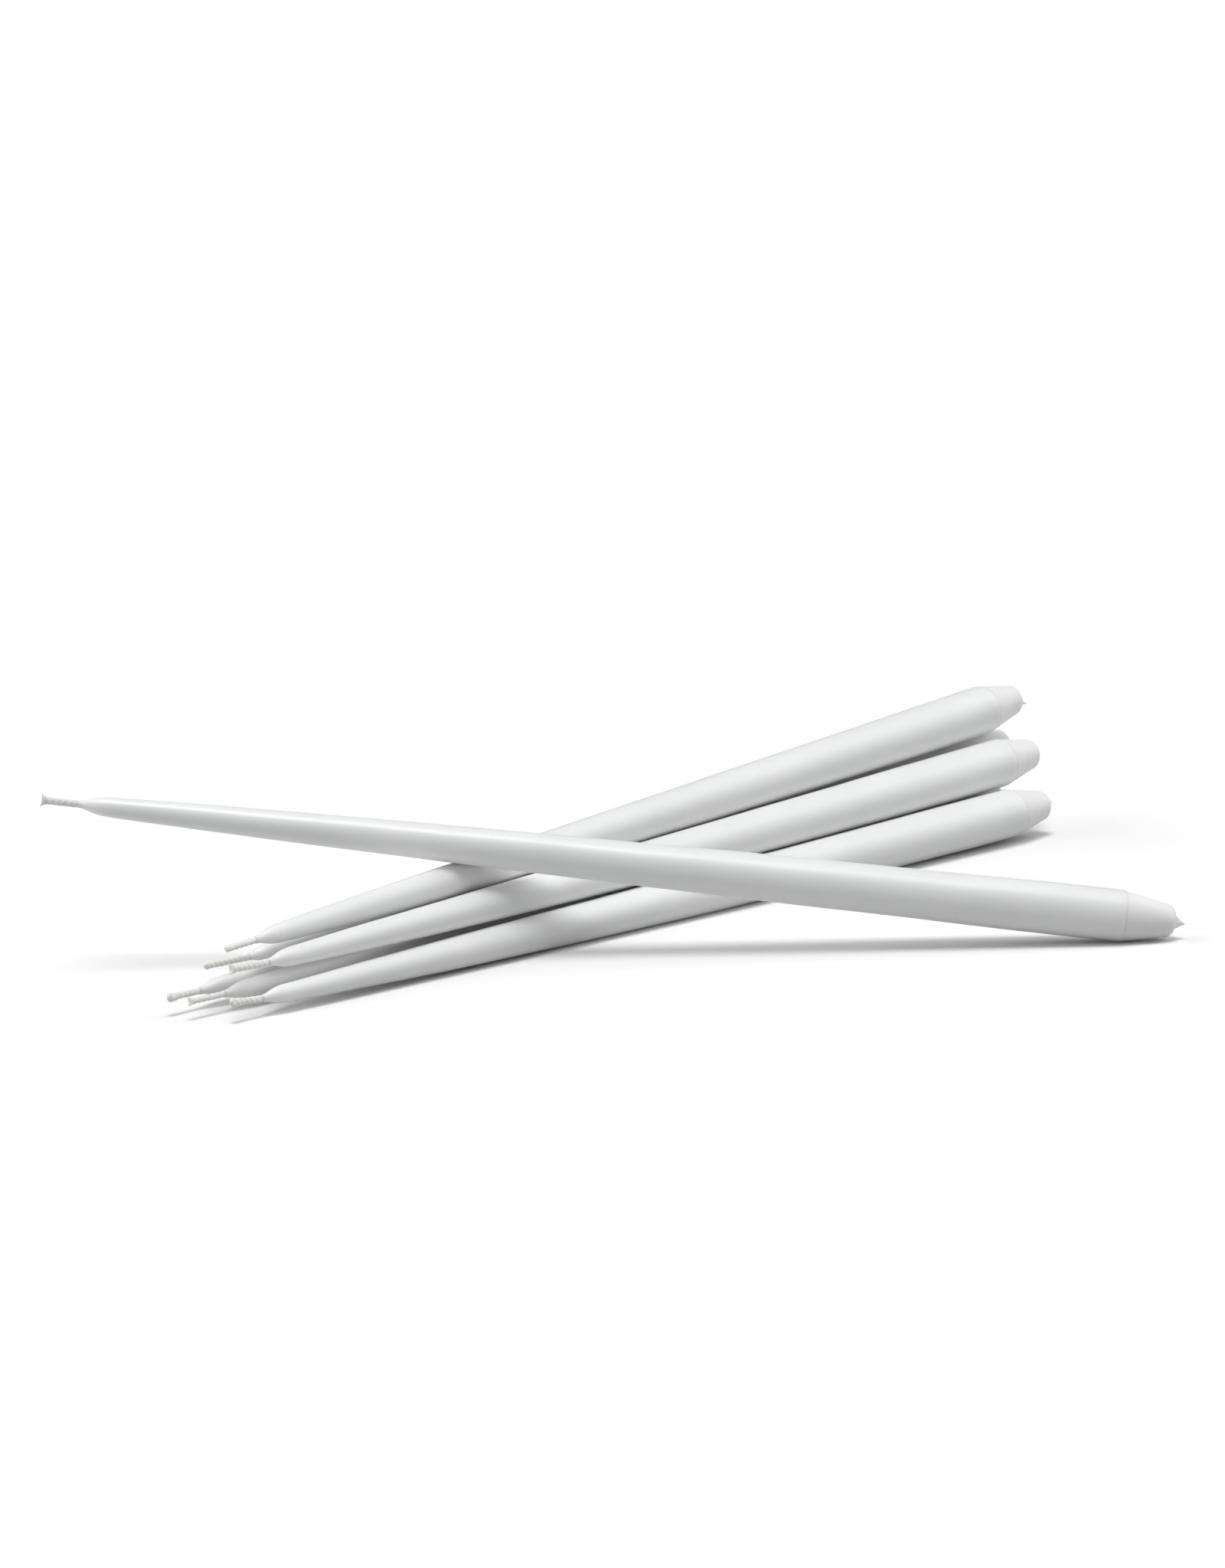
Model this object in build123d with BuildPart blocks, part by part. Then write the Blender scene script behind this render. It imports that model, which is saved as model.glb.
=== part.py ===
from build123d import *
import os
from math import cos, sin, radians

# A loose set of seven slim, dipped taper candles: six lie in a 3-2-1 pile with
# their fitted ends together, and the seventh lies across the pile with its
# fitted end on the table.
#
# Frame: +Z up, the table is Z = 0, the origin is below the middle of the set,
# and +X runs along the crossing candle towards its fitted end.
# Each candle has an axis of its own, measured from the rim of its fitted end
# (s = 0) to the wax tip (s = WAX_LENGTH).

# ------------------------------------------------ driving dimensions, in mm
WAX_LENGTH = 270.0        # rim of the fitted end to the wax tip
BODY_RADIUS = 6.5         # the parallel band that a holder grips
BAND_START = 13.0         # the band, from the shoulder...
BAND_END = 25.0           # ...to where the taper begins
COAT_THICKNESS = 0.4      # glossy overdip on the body
CORE_TIP = 268.0          # where the core stops inside the coat's tip

RIM_RADIUS = 3.95         # edge of the domed end face
CONE_FOOT = (4.25, 1.3)   # (radius, s) where the rim's rounding meets the cone
CONE_HEAD = (6.45, 12.0)  # (radius, s) where the cone meets the shoulder
DOME_RADIUS = 1.5         # the end face's middle, at the foot of the nib
DOME_RISE = 1.5           # how far that middle stands out past the rim
NIB_TIP_RADIUS = 0.25     # blunt point of the wax drip left on the end face

WICK_RADIUS = 1.0         # braided wick, waxed
WICK_START = 3.0          # the wick stops this far inside the fitted end
WICK_BEND_LENGTH = 4.0    # the bare end's bend, measured along the braid

# outside of the taper, as (radius, s): it grows slimmer ever faster to the tip
TAPER = [(6.24, 60.0), (5.80, 102.0), (5.27, 140.0), (4.68, 175.0),
         (4.09, 205.0), (3.51, 230.0), (2.94, 250.0), (2.50, 262.0)]
TAPER_END_SLOPE = (-0.045, 1.0)
TIP = [(2.20, 266.0), (1.72, 268.6), (1.20, 270.0)]
# the same line on the core, which ends in a blunter tip
CORE_POINT = [(1.80, 266.0), (1.30, 268.0)]

# middle of each rim (x, y, z), azimuth and inclination of the axis from the
# fitted end to the tip in degrees, bare wick length, wick's own rise in
# degrees, and the length of the wax nib
CANDLES = {
    "crossing":      ((137.223, -38.828, 4.761), -178.0187, 7.8031, 11.0, 0.0, 2.4),
    "top":           ((108.307, 98.497, 33.280), -135.9306, -3.7780, 12.0, -0.5, 1.6),
    "middle_front":  ((112.528, 92.509, 19.455), -136.1220, -1.7247, 14.1, 3.3, 0.5),
    "middle_rear":   ((105.461, 104.809, 19.952), -135.5796, -2.0630, 16.8, 2.7, 0.8),
    "bottom_rear":   ((91.342, 101.335, 7.159), -134.7848, -0.7593, 12.2, 0.8, 0.6),
    "bottom_centre": ((103.266, 92.029, 7.159), -136.5153, -0.7593, 13.3, 0.8, 0.7),
    "bottom_front":  ((114.876, 84.259, 7.159), -137.2501, -0.7593, 11.9, 4.7, 1.2),
}


def axial_plane(rim, azimuth, inclination):
    """A plane through a candle's axis: x is the radius and y runs along the axis, towards the tip."""
    a, i = radians(azimuth), radians(inclination)
    along = Vector(cos(a) * cos(i), sin(a) * cos(i), sin(i))
    across = Vector(-sin(a), cos(a), 0)
    return Plane(origin=Vector(*rim), x_dir=across, z_dir=across.cross(along))


def cone_radius(s):
    (r0, s0), (r1, s1) = CONE_FOOT, CONE_HEAD
    return r0 + (s - s0) * (r1 - r0) / (s1 - s0)


CORE_RADIUS = BODY_RADIUS - COAT_THICKNESS
COAT_EDGE = CONE_FOOT[1] + (CORE_RADIUS - CONE_FOOT[0]) * (
    CONE_HEAD[1] - CONE_FOOT[1]) / (CONE_HEAD[0] - CONE_FOOT[0])
CORE_TAPER = [(r - COAT_THICKNESS, s) for r, s in TAPER]


def make_core(plane, nib):
    """Wax core: domed end with its nib, the cut cone, and the body up to a blunt tip, bored for the wick."""
    axis = Axis(plane.origin, plane.y_dir)
    with BuildPart() as core:
        with BuildSketch(plane):
            with BuildLine():
                nib_end = (NIB_TIP_RADIUS, -DOME_RISE - nib)
                Line((0, nib_end[1]), nib_end)
                Line(nib_end, (DOME_RADIUS, -DOME_RISE))
                ThreePointArc((DOME_RADIUS, -DOME_RISE), (2.95, -0.93), (RIM_RADIUS, 0))
                Line((RIM_RADIUS, 0), CONE_FOOT)
                Line(CONE_FOOT, (CORE_RADIUS, COAT_EDGE))
                Line((CORE_RADIUS, COAT_EDGE), (CORE_RADIUS, BAND_END))
                Spline((CORE_RADIUS, BAND_END), *CORE_TAPER,
                       tangents=[(0, 1), TAPER_END_SLOPE])
                Spline(CORE_TAPER[-1], *CORE_POINT, tangents=[TAPER_END_SLOPE, (-1, 1)])
                Line(CORE_POINT[-1], (0, CORE_TIP))
                Line((0, CORE_TIP), (0, nib_end[1]))
            make_face()
        revolve(axis=axis)
        with BuildSketch(plane):
            with BuildLine():
                Polyline((0, WICK_START), (WICK_RADIUS, WICK_START),
                         (WICK_RADIUS, WAX_LENGTH), (0, WAX_LENGTH), close=True)
            make_face()
        revolve(axis=axis, mode=Mode.SUBTRACT)
    return core


def make_coat(plane):
    """Overdip: a thin closed sleeve from the cut edge on the cone to the rounded tip, open for the wick."""
    with BuildPart() as coat:
        with BuildSketch(plane):
            with BuildLine():
                Line((CORE_RADIUS, COAT_EDGE), CONE_HEAD)
                Line(CONE_HEAD, (BODY_RADIUS, BAND_START))
                Line((BODY_RADIUS, BAND_START), (BODY_RADIUS, BAND_END))
                Spline((BODY_RADIUS, BAND_END), *TAPER, tangents=[(0, 1), TAPER_END_SLOPE])
                Spline(TAPER[-1], *TIP, tangents=[TAPER_END_SLOPE, (-1, 0.8)])
                Line(TIP[-1], (WICK_RADIUS, TIP[-1][1]))
                Line((WICK_RADIUS, TIP[-1][1]), (WICK_RADIUS, CORE_TIP))
                Line((WICK_RADIUS, CORE_TIP), CORE_POINT[-1])
                Spline(CORE_TAPER[-1], *CORE_POINT, tangents=[TAPER_END_SLOPE, (-1, 1)])
                Spline((CORE_RADIUS, BAND_END), *CORE_TAPER,
                       tangents=[(0, 1), TAPER_END_SLOPE])
                Line((CORE_RADIUS, BAND_END), (CORE_RADIUS, COAT_EDGE))
            make_face()
        revolve(axis=Axis(plane.origin, plane.y_dir))
    return coat


def make_wick(plane, azimuth, inclination, bare, rise):
    """Wick: one braid, straight through the wax, whose bare end bends up or down a little from the candle's axis."""
    a, i = radians(azimuth), radians(inclination)
    upward = Vector(-cos(a) * sin(i), -sin(a) * sin(i), cos(i))
    bend_plane = Plane(origin=plane.origin, x_dir=upward, z_dir=upward.cross(plane.y_dir))
    turn, side = radians(abs(rise)), (1 if rise >= 0 else -1)
    bend_radius = WICK_BEND_LENGTH / turn if rise else 0
    bend = [(side * bend_radius * (1 - cos(t)), WAX_LENGTH + bend_radius * sin(t))
            for t in (turn / 2, turn)]
    rest = bare - WICK_BEND_LENGTH
    with BuildPart() as wick:
        with BuildLine(bend_plane):
            if rise:
                Line((0, WICK_START), (0, WAX_LENGTH))
                ThreePointArc((0, WAX_LENGTH), *bend)
                Line(bend[1], (bend[1][0] + side * sin(turn) * rest, bend[1][1] + cos(turn) * rest))
            else:
                Line((0, WICK_START), (0, WAX_LENGTH + bare))
        with BuildSketch(Plane(origin=plane.origin + plane.y_dir * WICK_START,
                               x_dir=plane.x_dir, z_dir=plane.y_dir)):
            Circle(WICK_RADIUS)
        sweep()
        chamfer(wick.faces().filter_by(GeomType.PLANE).sort_by(
            Axis(plane.origin, plane.y_dir))[-1].edges(), 0.2)
    return wick


os.makedirs("parts", exist_ok=True)
for name, (rim, azimuth, inclination, bare, rise, nib) in CANDLES.items():
    plane = axial_plane(rim, azimuth, inclination)

    core = make_core(plane, nib)
    core.part.label = f"{name}_core"
    export_step(core.part, f"parts/{name}_core.step")

    coat = make_coat(plane)
    coat.part.label = f"{name}_coat"
    export_step(coat.part, f"parts/{name}_coat.step")

    wick = make_wick(plane, azimuth, inclination, bare, rise)
    wick.part.label = f"{name}_wick"
    export_step(wick.part, f"parts/{name}_wick.step")
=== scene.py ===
import math

import bpy
import numpy as np
from mathutils import Matrix, Vector


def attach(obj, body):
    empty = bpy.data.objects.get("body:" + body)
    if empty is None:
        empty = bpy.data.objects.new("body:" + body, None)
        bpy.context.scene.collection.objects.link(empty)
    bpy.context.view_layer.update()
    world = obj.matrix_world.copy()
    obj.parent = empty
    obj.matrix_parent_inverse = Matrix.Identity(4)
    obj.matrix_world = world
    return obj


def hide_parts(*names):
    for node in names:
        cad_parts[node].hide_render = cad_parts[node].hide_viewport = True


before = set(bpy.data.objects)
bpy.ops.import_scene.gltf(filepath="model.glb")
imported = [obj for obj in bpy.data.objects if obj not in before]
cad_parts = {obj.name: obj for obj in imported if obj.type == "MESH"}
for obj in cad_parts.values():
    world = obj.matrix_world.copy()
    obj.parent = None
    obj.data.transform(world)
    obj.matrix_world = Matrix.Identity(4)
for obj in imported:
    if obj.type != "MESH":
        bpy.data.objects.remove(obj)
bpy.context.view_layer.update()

MM = 0.001

# ------------------------------------------------------------------ camera
# The camera looks at a point on the table near the middle of the set.
AIM = Vector((0.00001, 0.158589, 0.0))
CAM_DISTANCE = 1.600
CAM_ELEVATION = 0.20980860558
CAM_ROLL = -0.018649440980
FOCAL_PX = 7415.91646510
LONG_SIDE_PX = 2048.0

forward = Vector((0, math.cos(CAM_ELEVATION), -math.sin(CAM_ELEVATION)))
up0 = Vector((0, math.sin(CAM_ELEVATION), math.cos(CAM_ELEVATION)))
right0 = Vector((1, 0, 0))
cam_right = right0 * math.cos(CAM_ROLL) + up0 * math.sin(CAM_ROLL)
cam_up = -right0 * math.sin(CAM_ROLL) + up0 * math.cos(CAM_ROLL)
cam_data = bpy.data.cameras.new("camera")
cam_data.sensor_width = 36.0
cam_data.sensor_fit = "AUTO"
cam_data.lens = FOCAL_PX * 36.0 / LONG_SIDE_PX
cam_data.clip_start, cam_data.clip_end = 0.05, 60.0
camera = bpy.data.objects.new("camera", cam_data)
bpy.context.scene.collection.objects.link(camera)
m = Matrix((cam_right, cam_up, -forward)).transposed().to_4x4()
m.translation = AIM - forward * CAM_DISTANCE
camera.matrix_world = m
bpy.context.scene.camera = camera

# ----------------------------------------------------------------- candles
# rim middle (mm), azimuth, inclination (degrees), bare wick, wick's rise,
# nib length, as in the CAD, then what is the candle's own: seed, bow at the
# ends (mm), tip slimness, and the looks of its wick and nib
CANDLES = {
    "crossing": ((137.223, -38.828, 4.761), -178.0187, 7.8031, 11.0, 0.0, 2.4),
    "top": ((108.307, 98.497, 33.280), -135.9306, -3.7780, 12.0, -0.5, 1.6),
    "middle_front": ((112.528, 92.509, 19.455), -136.1220, -1.7247, 14.1, 3.3, 0.5),
    "middle_rear": ((105.461, 104.809, 19.952), -135.5796, -2.0630, 16.8, 2.7, 0.8),
    "bottom_rear": ((91.342, 101.335, 7.159), -134.7848, -0.7593, 12.2, 0.8, 0.6),
    "bottom_centre": ((103.266, 92.029, 7.159), -136.5153, -0.7593, 13.3, 0.8, 0.7),
    "bottom_front": ((114.876, 84.259, 7.159), -137.2501, -0.7593, 11.9, 4.7, 1.2),
}
OWN = {
    #               seed  bow  slim  wick end, how wide, upper and lower prong (mm), turn of the plait's flat side,
    #               thickness, cut length (mm), nib's foot radius and where its point is, across and up (mm)
    "crossing":      (11, 0.0, 0.00, "splayed", 1.80, -0.15, 0.05, 1.45, 1.16, 9.9, 1.78, (0.10, -0.35)),
    "top":           (23, 0.84, 0.06, "round", 1.16, 0, 0, 0.25, 1.10, 10.3, 0.80, (2.40, -1.40)),
    "middle_front":  (37, 0.84, 0.08, "splayed", 1.50, -0.10, 0.20, 1.20, 1.10, 12.7, 0.70, (0.30, 0.20)),
    "middle_rear":   (41, 0.84, 0.08, "round", 1.12, 0, 0, 1.70, 1.06, 14.9, 0.75, (-0.50, 0.30)),
    "bottom_rear":   (53, 0.84, 0.12, "knob", 1.30, 0, 0, 0.95, 1.00, 11.1, 0.70, (0.40, -0.30)),
    "bottom_centre": (67, 0.84, 0.12, "splayed", 1.55, 0.20, 0.15, 0.60, 0.98, 11.9, 0.80, (-0.30, 0.40)),
    "bottom_front":  (79, 0.84, 0.22, "knob", 1.34, 0, 0, 1.30, 1.08, 10.7, 0.85, (1.75, 0.65)),
}
WAX_LENGTH = 270.0
BODY_RADIUS = 6.5
COAT = 0.4
COAT_EDGE = 11.5

# outside of the CAD's taper: (radius, s)
TAPER = [(6.5, 25.0), (6.24, 60.0), (5.80, 102.0), (5.27, 140.0), (4.68, 175.0),
         (4.09, 205.0), (3.51, 230.0), (2.94, 250.0), (2.50, 262.0)]
TIP = [(2.50, 262.0), (2.20, 266.0), (1.72, 268.6), (1.20, 270.0)]


def spline(points, start_slope, end_slope):
    """Cubic spline r(s) through (r, s) points, with its end slopes given."""
    x = np.array([p[1] for p in points], float)
    y = np.array([p[0] for p in points], float)
    n = len(x)
    h = np.diff(x)
    a = np.zeros((n, n))
    b = np.zeros(n)
    a[0, 0], a[0, 1] = 2 * h[0], h[0]
    b[0] = 6 * ((y[1] - y[0]) / h[0] - start_slope)
    a[-1, -1], a[-1, -2] = 2 * h[-1], h[-1]
    b[-1] = 6 * (end_slope - (y[-1] - y[-2]) / h[-1])
    for i in range(1, n - 1):
        a[i, i - 1], a[i, i], a[i, i + 1] = h[i - 1], 2 * (h[i - 1] + h[i]), h[i]
        b[i] = 6 * ((y[i + 1] - y[i]) / h[i] - (y[i] - y[i - 1]) / h[i - 1])
    mm = np.linalg.solve(a, b)

    def f(s):
        s = np.asarray(s, float)
        i = np.clip(np.searchsorted(x, s) - 1, 0, n - 2)
        d0, d1 = x[i + 1] - s, s - x[i]
        return (mm[i] * d0 ** 3 + mm[i + 1] * d1 ** 3) / (6 * h[i]) + (
            y[i] / h[i] - mm[i] * h[i] / 6) * d0 + (y[i + 1] / h[i] - mm[i + 1] * h[i] / 6) * d1
    return f


taper_f = spline(TAPER, 0.0, -0.045)
tip_f = spline(TIP, -0.045, -1.1)


def outer_radius(s):
    """The candle's outside, cone and band included, for s from 0 to WAX_LENGTH."""
    s = np.asarray(s, float)
    r = np.interp(s, [0.0, 1.3, 12.0, 13.0, 25.0], [3.95, 4.25, 6.45, 6.5, 6.5])
    r = np.where((s > 25) & (s <= 262), taper_f(np.clip(s, 25, 262)), r)
    return np.where(s > 262, tip_f(np.clip(s, 262, 270)), r)


class Frame3:
    """A candle's own frame: place(s, x, y) gives row coordinates in metres. x is level and y points up."""

    def __init__(self, name):
        rim, az, inc, self.bare, self.rise, self.nib = CANDLES[name]
        self.name = name
        (self.seed, self.bow, self.slim, self.end, self.wide, self.prong_up, self.prong_down, self.roll,
         self.thick, self.bare, self.nib_foot, self.nib_at) = OWN[name]
        a, i = math.radians(az), math.radians(inc)
        self.p = np.array(rim, float)
        self.d = np.array([math.cos(a) * math.cos(i), math.sin(a) * math.cos(i), math.sin(i)])
        self.h = np.array([-math.sin(a), math.cos(a), 0.0])
        self.u = np.cross(self.d, self.h)
        if self.u[2] < 0:
            self.h, self.u = -self.h, -self.u
        self.rng = np.random.default_rng(self.seed)

    def lift(self, s):
        """How far the candle's slight bow raises it at s."""
        s = np.asarray(s, float)
        inside = self.bow * ((np.minimum(s, WAX_LENGTH) - 125.0) / 135.0) ** 2
        slope = 2 * self.bow * (WAX_LENGTH - 125.0) / 135.0 ** 2
        return inside + np.maximum(s - WAX_LENGTH, 0) * slope

    def place(self, s, x, y):
        s, x, y = np.broadcast_arrays(np.asarray(s, float), x, y)
        q = (self.p + s[..., None] * self.d + x[..., None] * self.h + y[..., None] * self.u)
        q = q.copy()
        q[..., 2] += self.lift(s)
        return q * MM


def ripple(c, s, theta, amount):
    """Slow unevenness of dipped wax, never proud of the CAD's skin."""
    r = np.random.default_rng(c.seed + 5)
    out = np.zeros(np.broadcast(s, theta).shape)
    for k in range(9):
        wl = 14.0 + 70.0 * r.random()
        n = int(r.integers(0, 4))
        out = out + (0.35 + 0.65 * r.random()) * np.sin(
            2 * np.pi * (s / wl + r.random()) + n * theta + 6.28 * r.random())
    return amount * (out / 3.2 - 1.0)


def mesh_from_rings(name, rings, cap_start=True, cap_end=True, smooth=True):
    """A closed mesh through rings of points (each n x 3), with a fan or nothing at its ends."""
    n = len(rings[0])
    verts = np.concatenate(rings)
    k = len(rings)
    faces = []
    for i in range(k - 1):
        a, b = i * n, (i + 1) * n
        for j in range(n):
            jj = (j + 1) % n
            faces.append((a + j, a + jj, b + jj, b + j))
    verts = list(map(tuple, verts))
    if cap_start:
        verts.append(tuple(np.mean(rings[0], axis=0)))
        c = len(verts) - 1
        faces += [(c, (j + 1) % n, j) for j in range(n)]
    if cap_end:
        verts.append(tuple(np.mean(rings[-1], axis=0)))
        c = len(verts) - 1
        o = (k - 1) * n
        faces += [(c, o + j, o + (j + 1) % n) for j in range(n)]
    me = bpy.data.meshes.new(name)
    me.from_pydata(verts, [], faces)
    me.validate()
    me.update()
    if smooth:
        me.polygons.foreach_set("use_smooth", np.ones(len(me.polygons), bool))
    ob = bpy.data.objects.new(name, me)
    bpy.context.scene.collection.objects.link(ob)
    return ob


def fix_normals(ob):
    import bmesh
    bm = bmesh.new()
    bm.from_mesh(ob.data)
    bmesh.ops.recalc_face_normals(bm, faces=bm.faces)
    bm.to_mesh(ob.data)
    bm.free()
    ob.data.update()
    ob.data.polygons.foreach_set("use_smooth", np.ones(len(ob.data.polygons), bool))


N_AROUND = 96
THETA = np.linspace(0, 2 * np.pi, N_AROUND, endpoint=False)


def smooth_through(points, s):
    """Monotone cubic through (s, r) points."""
    x = np.array([p[0] for p in points], float)
    y = np.array([p[1] for p in points], float)
    h, dy = np.diff(x), np.diff(y)
    m = dy / h
    g = np.zeros_like(y)
    g[0], g[-1] = m[0], m[-1]
    for i in range(1, len(x) - 1):
        if m[i - 1] * m[i] > 0:
            w1, w2 = 2 * h[i] + h[i - 1], h[i] + 2 * h[i - 1]
            g[i] = (w1 + w2) / (w1 / m[i - 1] + w2 / m[i])
    s = np.asarray(s, float)
    i = np.clip(np.searchsorted(x, s) - 1, 0, len(x) - 2)
    t = (s - x[i]) / h[i]
    return ((1 + 2 * t) * (1 - t) ** 2 * y[i] + t * (1 - t) ** 2 * h[i] * g[i]
            + t * t * (3 - 2 * t) * y[i + 1] + t * t * (t - 1) * h[i] * g[i + 1])


# the dipped tip: a rounded shoulder that runs out along the wick
SHOULDER = [(258.0, 2.67), (260.0, 2.60), (262.0, 2.52), (264.0, 2.38), (265.6, 2.16), (267.0, 1.84),
            (268.2, 1.46), (269.2, 1.15), (270.1, 0.97), (270.9, 0.88)]
COAT_END = 270.9


def visual_radius(c, s):
    """The coat's outside before its unevenness: the CAD's profile, a little slimmer towards some tips."""
    s = np.asarray(s, float)
    r = np.where(s > 259.0, smooth_through(SHOULDER, np.clip(s, 258.0, COAT_END)), outer_radius(np.clip(s, 0, 262)))
    t = np.clip((s - 190.0) / 70.0, 0, 1) * np.clip((270.0 - s) / 8.0, 0, 1)
    return r - c.slim * t * t


def make_coat(c):
    """The overdip: a thin closed sleeve, with a soft edge at the shoulder and a meniscus on the wick."""
    r = np.random.default_rng(c.seed + 1)
    # wobble of the cut edge along the axis
    edge = sum((0.10 / (k + 1)) * np.sin(k * THETA + 6.28 * r.random()) for k in range(1, 5))
    s_out = np.concatenate([
        np.array([0.0, 0.03, 0.10, 0.22, 0.42, 0.75, 1.1, 1.5, 2.0, 2.6]) + COAT_EDGE,
        np.arange(COAT_EDGE + 3.4, 256.0, 1.6),
        np.arange(256.0, 265.0, 0.6), np.arange(265.0, COAT_END - 0.1, 0.25), [COAT_END]])
    rings = []
    for s in s_out:
        near = math.exp(-(s - COAT_EDGE) / 0.8)
        ss = s + edge * math.exp(-(s - COAT_EDGE) / 2.2)
        base = visual_radius(c, np.clip(ss, 0, COAT_END))
        # the edge is rounded off over 0.2 mm and stands a little proud of the cone
        t = min((s - COAT_EDGE) / 0.22, 1.0)
        lip = 0.15 * (1 - math.sqrt(max(0.0, 1 - (1 - t) ** 2)))
        fade = min(1.0, max(0.0, (270.0 - s) / 10.0))
        rr = base - lip + ripple(c, s, THETA, 0.035) * fade
        rings.append(c.place(ss, rr * np.cos(THETA), rr * np.sin(THETA)))
    # back down the inside, against the core
    inner = [(COAT_END + 0.05, 0.70), (270.0, 0.56), (268.0, 0.58), (267.4, 1.00), (266.0, 1.40)]
    for s, q in inner:
        rings.append(c.place(s, q * np.cos(THETA), q * np.sin(THETA)))
    for s in np.concatenate([[262.0], np.arange(255.0, 20.0, -6.0), [14.0, COAT_EDGE + 0.6]]):
        q = float(visual_radius(c, s)) - COAT - 0.05
        rings.append(c.place(s, q * np.cos(THETA), q * np.sin(THETA)))
    q = float(outer_radius(COAT_EDGE)) - 0.34
    rings.append(c.place(COAT_EDGE + 0.05 + edge, q * np.cos(THETA), q * np.sin(THETA)))
    rings.append(rings[0])
    # one closed loop of rings: join the last to the first
    rings = rings[:-1]
    n = N_AROUND
    verts = np.concatenate(rings)
    k = len(rings)
    faces = []
    for i in range(k):
        a, b = i * n, ((i + 1) % k) * n
        for j in range(n):
            jj = (j + 1) % n
            faces.append((a + j, a + jj, b + jj, b + j))
    me = bpy.data.meshes.new(c.name + "_dipped_coat")
    me.from_pydata(list(map(tuple, verts)), [], faces)
    me.update()
    ob = bpy.data.objects.new(c.name + "_dipped_coat", me)
    bpy.context.scene.collection.objects.link(ob)
    fix_normals(ob)
    return ob


def make_core(c):
    """The wax core: nib, domed end, cut cone with faint turning marks, and the body inside the coat."""
    r = np.random.default_rng(c.seed + 2)
    rings = []
    # nib: a drip drawn out to a thin uneven point, a little off the middle
    nib_top = -1.5 - c.nib
    foot = c.nib_foot
    tip_at = np.array(c.nib_at)
    foot_at = tip_at * (0.62 if foot < 1.5 else 0.15)
    s_foot = -1.56 + 0.045 * foot ** 2
    for t in np.linspace(0, 1, 12):
        s = nib_top + 0.04 + (s_foot - nib_top - 0.06) * t
        off = 1 - t
        q = 0.16 + (foot - 0.16) * (0.72 * t + 0.28 * t ** 2.2)
        wob = 1 + 0.08 * np.sin(3 * THETA + c.seed) * (0.4 + 0.6 * off) + 0.05 * np.sin(5 * THETA + 2.0 * s)
        rr = q * wob
        at = foot_at + (tip_at - foot_at) * off ** 1.2
        rings.append(c.place(s, rr * np.cos(THETA) + at[0], rr * np.sin(THETA) + at[1]))
    # domed end face, from the nib's foot to the rim
    for s, q in ((-1.48, 1.30), (-1.44, 1.60), (-1.40, 1.86), (-1.32, 2.12), (-1.18, 2.48), (-0.98, 2.88),
                 (-0.7, 3.25), (-0.4, 3.55), (-0.08, 3.80), (0.28, 3.97), (0.7, 4.09), (1.3, 4.22)):
        if q < foot + 0.12:
            continue
        wob = 0.03 * np.sin(2 * THETA + c.seed) + 0.02 * np.sin(5 * THETA)
        rr = q + wob
        at = foot_at * min(1.0, max(0.0, (3.3 - q) / (3.3 - foot)))
        rings.append(c.place(s, rr * np.cos(THETA) + at[0], rr * np.sin(THETA) + at[1]))
    # cone
    for s in np.concatenate([np.arange(1.7, COAT_EDGE + 0.1, 0.35), [COAT_EDGE + 0.3, COAT_EDGE + 0.6]]):
        q = outer_radius(min(s, 12.0)) - 0.05 - 0.02 * math.sin(s * 2.1 + c.seed)
        q = min(float(q), BODY_RADIUS - COAT - 0.02 + max(0.0, COAT_EDGE + 0.2 - s) * 9)
        rr = q + 0.02 * np.sin(2 * THETA + c.seed)
        rings.append(c.place(s, rr * np.cos(THETA), rr * np.sin(THETA)))
    for s in np.concatenate([[14.0], np.arange(20.0, 262.0, 6.0), [262.0]]):
        q = float(visual_radius(c, s)) - COAT - 0.07
        rings.append(c.place(s, q * np.cos(THETA), q * np.sin(THETA)))
    for s, q in ((265.8, 1.36), (267.3, 0.94), (267.5, 0.55)):
        rings.append(c.place(s, q * np.cos(THETA), q * np.sin(THETA)))
    ob = mesh_from_rings(c.name + "_wax_core", rings, True, True)
    fix_normals(ob)
    return ob


# ------------------------------------------------------------------- wicks
def wick_line(c, t):
    """Middle of the wick, t mm beyond the wax tip (or inside it, t < 0): (s, x, y) in the candle's frame."""
    turn = math.radians(c.rise)
    bend = 4.0
    t = np.asarray(t, float)
    out = np.maximum(t, 0)
    arc = np.minimum(out, bend)
    if abs(turn) > 1e-6:
        rad = bend / abs(turn)
        ang = arc / rad
        y = math.copysign(1, turn) * rad * (1 - np.cos(ang))
        s = rad * np.sin(ang)
        s = s + np.maximum(out - bend, 0) * math.cos(turn)
        y = y + np.maximum(out - bend, 0) * math.sin(turn)
    else:
        s, y = out, np.zeros_like(out)
    return WAX_LENGTH + s + np.minimum(t, 0), np.zeros_like(y), y


def braid_radius(t, theta, phase, period=4.6, a=0.37, b=0.18, rho=0.52):
    """Distance from the middle to the outside of three plaited strands, softened by the wax they are soaked in."""
    n = np.stack([np.cos(theta), np.sin(theta)], -1)
    vals = [np.full(np.broadcast(t, theta).shape, 0.56)]
    for k in range(3):
        ph = 2 * np.pi * (t / period + k / 3.0) + phase
        cx, cy = a * np.sin(ph), b * np.sin(2 * ph)
        along = cx * n[..., 0] + cy * n[..., 1]
        off2 = (cx * n[..., 1] - cy * n[..., 0]) ** 2
        vals.append(np.where(off2 < rho ** 2, along + np.sqrt(np.maximum(rho ** 2 - off2, 0)), 0.0))
    v = np.stack(vals)
    sharp = 5.0
    return np.log(np.exp(sharp * v).sum(0)) / sharp - 0.125


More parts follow.
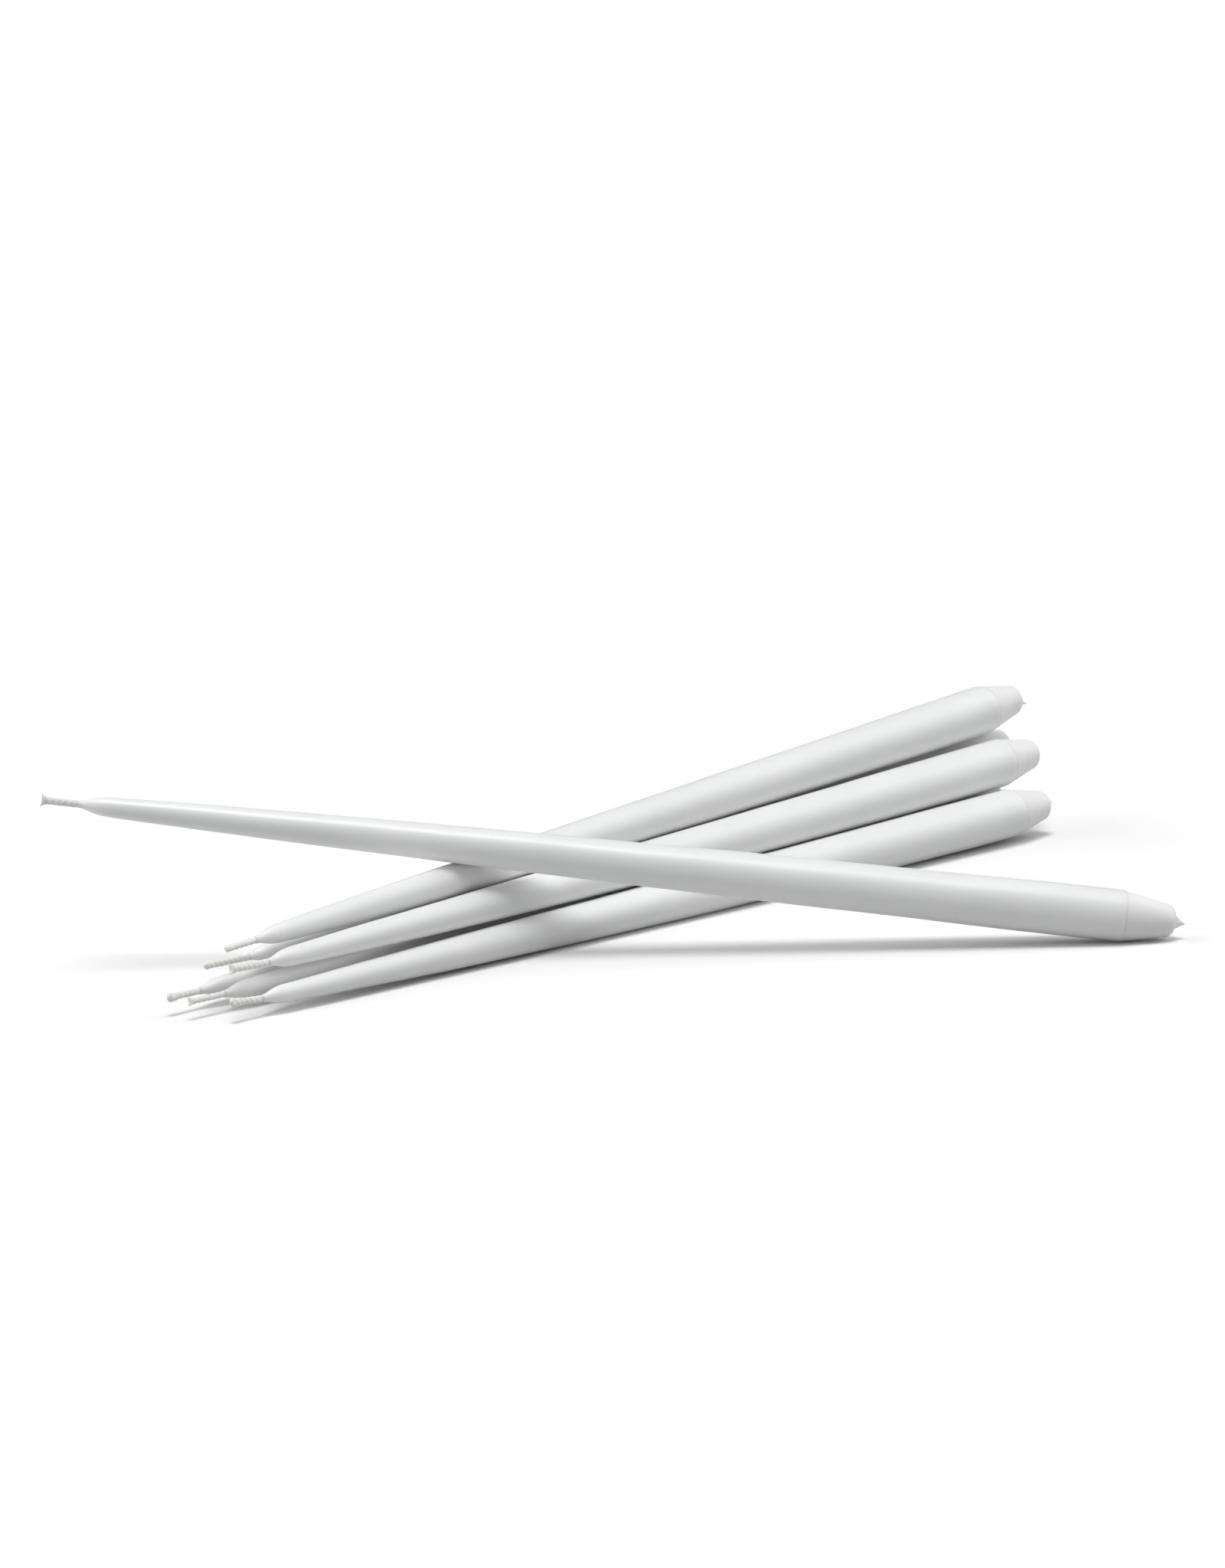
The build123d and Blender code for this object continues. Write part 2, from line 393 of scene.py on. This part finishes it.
def make_wick(c):
    """One plaited wick, from inside the fitted end to its bare, cut end."""
    r = np.random.default_rng(c.seed + 3)
    phase = 6.28 * r.random()
    twist = 0.03 * (r.random() - 0.5)
    n = 64
    th = np.linspace(0, 2 * np.pi, n, endpoint=False)
    tail = {"splayed": 2.2, "round": 1.6, "knob": 3.4}[c.end]
    inside = np.arange(-WAX_LENGTH + 4.0, -3.0, 1.2)
    outside = np.arange(-3.0, c.bare - 0.05, 0.10)
    lumps = [(r.random() * 6.28, 0.06 + 0.05 * r.random(), 1.2 + 2.2 * r.random()) for _ in range(4)]

    def ring(t, grow=1.0, back=0.0):
        q = braid_radius(t, th + c.roll + twist * t, phase)
        u = min(1.0, max(0.0, (t - (c.bare - tail)) / tail))
        sx = sy = 1.0
        ds = 0.0
        if c.end == "splayed":
            # cut ends of the strands open out, one edge further than the other
            sy, sx = 1 + (c.wide - 1) * u ** 2.2, 1 - 0.10 * u
            up, down = np.maximum(np.sin(th), 0) ** 2, np.maximum(-np.sin(th), 0) ** 2
            ds = (c.prong_up * up + c.prong_down * down - 0.25 * np.cos(th) ** 2) * u ** 3
            q = q * (1 + 0.05 * u * np.sin(9 * th + c.seed) + 0.12 * u ** 2 * up)
        elif c.end == "round":
            sy = sx = 1 + (c.wide - 1) * math.sin(math.pi * min(1.0, u * 0.8))
        else:
            swell = (c.wide - 1) * math.sin(math.pi * min(1.0, 0.12 + u * 0.80)) ** 1.5 if u > 0 else 0.0
            sy = sx = 1 + swell
            for ph, amp, k in lumps:
                q = q * (1 + amp * u * np.sin(2 * th + ph + k * t))
        q = q * grow * (c.thick if t > 0 else 1.0)
        s, cx, cy = wick_line(c, t)
        return c.place(s + ds * grow - back, cx + q * sx * np.cos(th), cy + q * sy * np.sin(th))

    rings = [ring(t, grow=0.94) for t in inside] + [ring(t) for t in outside]
    last = c.bare - 0.05
    if c.end == "splayed":
        rings += [ring(last, 0.90, 0.02), ring(last, 0.66, 0.14), ring(last, 0.40, 0.26), ring(last, 0.16, 0.32)]
    else:
        span = 0.75 if c.end == "round" else 0.95
        drop = len([t for t in outside if t > last - span])
        rings = rings[:-drop]
        for a in np.linspace(0, 1.42, 12):
            rings.append(ring(last - span + span * math.sin(a), grow=0.12 + 0.88 * math.cos(a)))
    ob = mesh_from_rings(c.name + "_braided_wick", rings, True, True)
    fix_normals(ob)
    return ob


# --------------------------------------------------------------- materials
def node_material(name):
    mat = bpy.data.materials.new(name)
    mat.use_nodes = True
    nt = mat.node_tree
    nt.nodes.clear()
    out = nt.nodes.new("ShaderNodeOutputMaterial")
    bsdf = nt.nodes.new("ShaderNodeBsdfPrincipled")
    nt.links.new(bsdf.outputs["BSDF"], out.inputs["Surface"])
    return mat, nt, bsdf


def add(nt, kind, **inputs):
    nd = nt.nodes.new(kind)
    for k, v in inputs.items():
        if k in nd.inputs:
            nd.inputs[k].default_value = v
        else:
            setattr(nd, k, v)
    return nd


def ramp(nt, lo, hi, c_lo, c_hi):
    nd = nt.nodes.new("ShaderNodeValToRGB")
    nd.color_ramp.elements[0].position = lo
    nd.color_ramp.elements[1].position = hi
    nd.color_ramp.elements[0].color = (*c_lo, 1)
    nd.color_ramp.elements[1].color = (*c_hi, 1)
    return nd


def wax_material(name, c_lo, c_hi, rough_lo, rough_hi, sss, radius, bump_mm, fine_mm, seed):
    mat, nt, bsdf = node_material(name)
    L = nt.links.new
    co = nt.nodes.new("ShaderNodeTexCoord")
    mp = nt.nodes.new("ShaderNodeMapping")
    mp.inputs["Location"].default_value = (seed * 0.37, seed * 0.11, seed * 0.23)
    L(co.outputs["Object"], mp.inputs["Vector"])
    # slow cloudiness of the wax
    cloud = add(nt, "ShaderNodeTexNoise", Scale=38.0, Detail=4.0, Roughness=0.55)
    L(mp.outputs["Vector"], cloud.inputs["Vector"])
    col = ramp(nt, 0.30, 0.72, c_lo, c_hi)
    L(cloud.outputs["Fac"], col.inputs["Fac"])
    L(col.outputs["Color"], bsdf.inputs["Base Color"])
    # gloss varies a little where the dip dried
    patch = add(nt, "ShaderNodeTexNoise", Scale=120.0, Detail=3.0, Roughness=0.6)
    L(mp.outputs["Vector"], patch.inputs["Vector"])
    rg = nt.nodes.new("ShaderNodeMapRange")
    rg.inputs["From Min"].default_value = 0.3
    rg.inputs["From Max"].default_value = 0.7
    rg.inputs["To Min"].default_value = rough_lo
    rg.inputs["To Max"].default_value = rough_hi
    L(patch.outputs["Fac"], rg.inputs["Value"])
    L(rg.outputs["Result"], bsdf.inputs["Roughness"])
    # unevenness: long soft waves and a fine orange-peel
    wave = add(nt, "ShaderNodeTexNoise", Scale=95.0, Detail=2.0, Roughness=0.5)
    L(mp.outputs["Vector"], wave.inputs["Vector"])
    peel = add(nt, "ShaderNodeTexNoise", Scale=900.0, Detail=3.0, Roughness=0.55)
    L(mp.outputs["Vector"], peel.inputs["Vector"])
    b1 = add(nt, "ShaderNodeBump", Strength=1.0, Distance=bump_mm * MM)
    b2 = add(nt, "ShaderNodeBump", Strength=1.0, Distance=fine_mm * MM)
    L(wave.outputs["Fac"], b1.inputs["Height"])
    L(peel.outputs["Fac"], b2.inputs["Height"])
    L(b1.outputs["Normal"], b2.inputs["Normal"])
    L(b2.outputs["Normal"], bsdf.inputs["Normal"])
    bsdf.inputs["IOR"].default_value = 1.44
    bsdf.inputs["Subsurface Weight"].default_value = sss
    bsdf.inputs["Subsurface Radius"].default_value = radius
    bsdf.inputs["Subsurface Scale"].default_value = 0.0012
    return mat, nt, bsdf


coat_mat, _, coat_bsdf = wax_material(
    "dipped_wax_coat", (0.87, 0.87, 0.865), (0.912, 0.912, 0.906), 0.34, 0.44,
    0.5, (1.0, 0.94, 0.86), 0.05, 0.003, 1.0)
coat_bsdf.inputs["Coat Weight"].default_value = 0.50
coat_bsdf.inputs["Coat Roughness"].default_value = 0.33
coat_bsdf.inputs["Coat IOR"].default_value = 1.45
core_mat, core_nt, core_bsdf = wax_material(
    "cut_wax_core", (0.795, 0.797, 0.795), (0.842, 0.844, 0.841), 0.42, 0.55,
    0.5, (1.0, 0.94, 0.86), 0.06, 0.010, 2.0)

wick_mat, wnt, wbsdf = node_material("waxed_cotton_wick")
L = wnt.links.new
wco = wnt.nodes.new("ShaderNodeTexCoord")
fibre = add(wnt, "ShaderNodeTexNoise", Scale=2600.0, Detail=3.0, Roughness=0.6)
L(wco.outputs["Object"], fibre.inputs["Vector"])
blot = add(wnt, "ShaderNodeTexNoise", Scale=420.0, Detail=3.0, Roughness=0.6)
L(wco.outputs["Object"], blot.inputs["Vector"])
wcol = ramp(wnt, 0.30, 0.72, (0.73, 0.732, 0.715), (0.83, 0.832, 0.818))
L(blot.outputs["Fac"], wcol.inputs["Fac"])
L(wcol.outputs["Color"], wbsdf.inputs["Base Color"])
wr = wnt.nodes.new("ShaderNodeMapRange")
wr.inputs["To Min"].default_value = 0.42
wr.inputs["To Max"].default_value = 0.68
L(blot.outputs["Fac"], wr.inputs["Value"])
L(wr.outputs["Result"], wbsdf.inputs["Roughness"])
wb = add(wnt, "ShaderNodeBump", Strength=1.0, Distance=0.022 * MM)
L(fibre.outputs["Fac"], wb.inputs["Height"])
L(wb.outputs["Normal"], wbsdf.inputs["Normal"])
wbsdf.inputs["Subsurface Weight"].default_value = 0.5
wbsdf.inputs["Subsurface Radius"].default_value = (1.0, 0.95, 0.85)
wbsdf.inputs["Subsurface Scale"].default_value = 0.0006

# ------------------------------------------------------------------- build
for name in CANDLES:
    c = Frame3(name)
    body = name + "_candle"
    core = make_core(c)
    core.data.materials.append(core_mat)
    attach(core, body)
    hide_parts(name + "_core")
    coat = make_coat(c)
    coat.data.materials.append(coat_mat)
    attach(coat, body)
    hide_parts(name + "_coat")
    wick = make_wick(c)
    wick.data.materials.append(wick_mat)
    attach(wick, body)
    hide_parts(name + "_wick")

# -------------------------------------------------------------------- stage
SIZE = 14.0


def floor_plane(name, z, albedo):
    me = bpy.data.meshes.new(name)
    me.from_pydata([(-SIZE, -SIZE, z), (SIZE, -SIZE, z), (SIZE, SIZE, z), (-SIZE, SIZE, z)], [], [(0, 1, 2, 3)])
    ob = bpy.data.objects.new(name, me)
    bpy.context.scene.collection.objects.link(ob)
    mat, nt, bsdf = node_material(name)
    bsdf.inputs["Base Color"].default_value = (albedo, albedo, albedo, 1)
    bsdf.inputs["Roughness"].default_value = 0.9
    bsdf.inputs["Specular IOR Level"].default_value = 0.1
    me.materials.append(mat)
    return ob


# the pale floor, and just under it a greyer sheet that takes over its bounce, so that
# the undersides of the candles stay as shaded as they are on a table
studio_floor = floor_plane("studio_floor", 0.0, 0.90)
studio_floor.visible_diffuse = False
studio_floor.visible_glossy = False
studio_floor.visible_shadow = False
bounce_floor = floor_plane("bounce_floor", -0.0004, 0.57)
bounce_floor.visible_camera = False


def softbox(name, elevation, azimuth, spread, strength):
    """A large, far softbox: an even disc of light, spread degrees across, seen from every point alike."""
    ld = bpy.data.lights.new(name, "SUN")
    ld.angle = math.radians(spread)
    ld.energy = strength
    ob = bpy.data.objects.new(name, ld)
    bpy.context.scene.collection.objects.link(ob)
    e, z = math.radians(elevation), math.radians(azimuth)
    towards = Vector((math.cos(e) * math.cos(z), math.cos(e) * math.sin(z), math.sin(e)))
    ob.rotation_mode = "QUATERNION"
    ob.rotation_quaternion = (-towards).to_track_quat("-Z", "Y")


softbox("overhead_softbox", 82, -90, 27, 1.70)
softbox("front_softbox", 58, -90, 44, 0.30)
softbox("right_high_softbox", 50, 30, 40, 0.46)
softbox("right_softbox", 25, 15, 44, 0.80)
softbox("left_softbox", 25, 180, 60, 1.40)

world = bpy.data.worlds.new("studio")
bpy.context.scene.world = world
world.use_nodes = True
bg = world.node_tree.nodes["Background"]
bg.inputs["Color"].default_value = (1, 1, 1, 1)
bg.inputs["Strength"].default_value = 0.13

bpy.context.scene.view_settings.view_transform = "Standard"
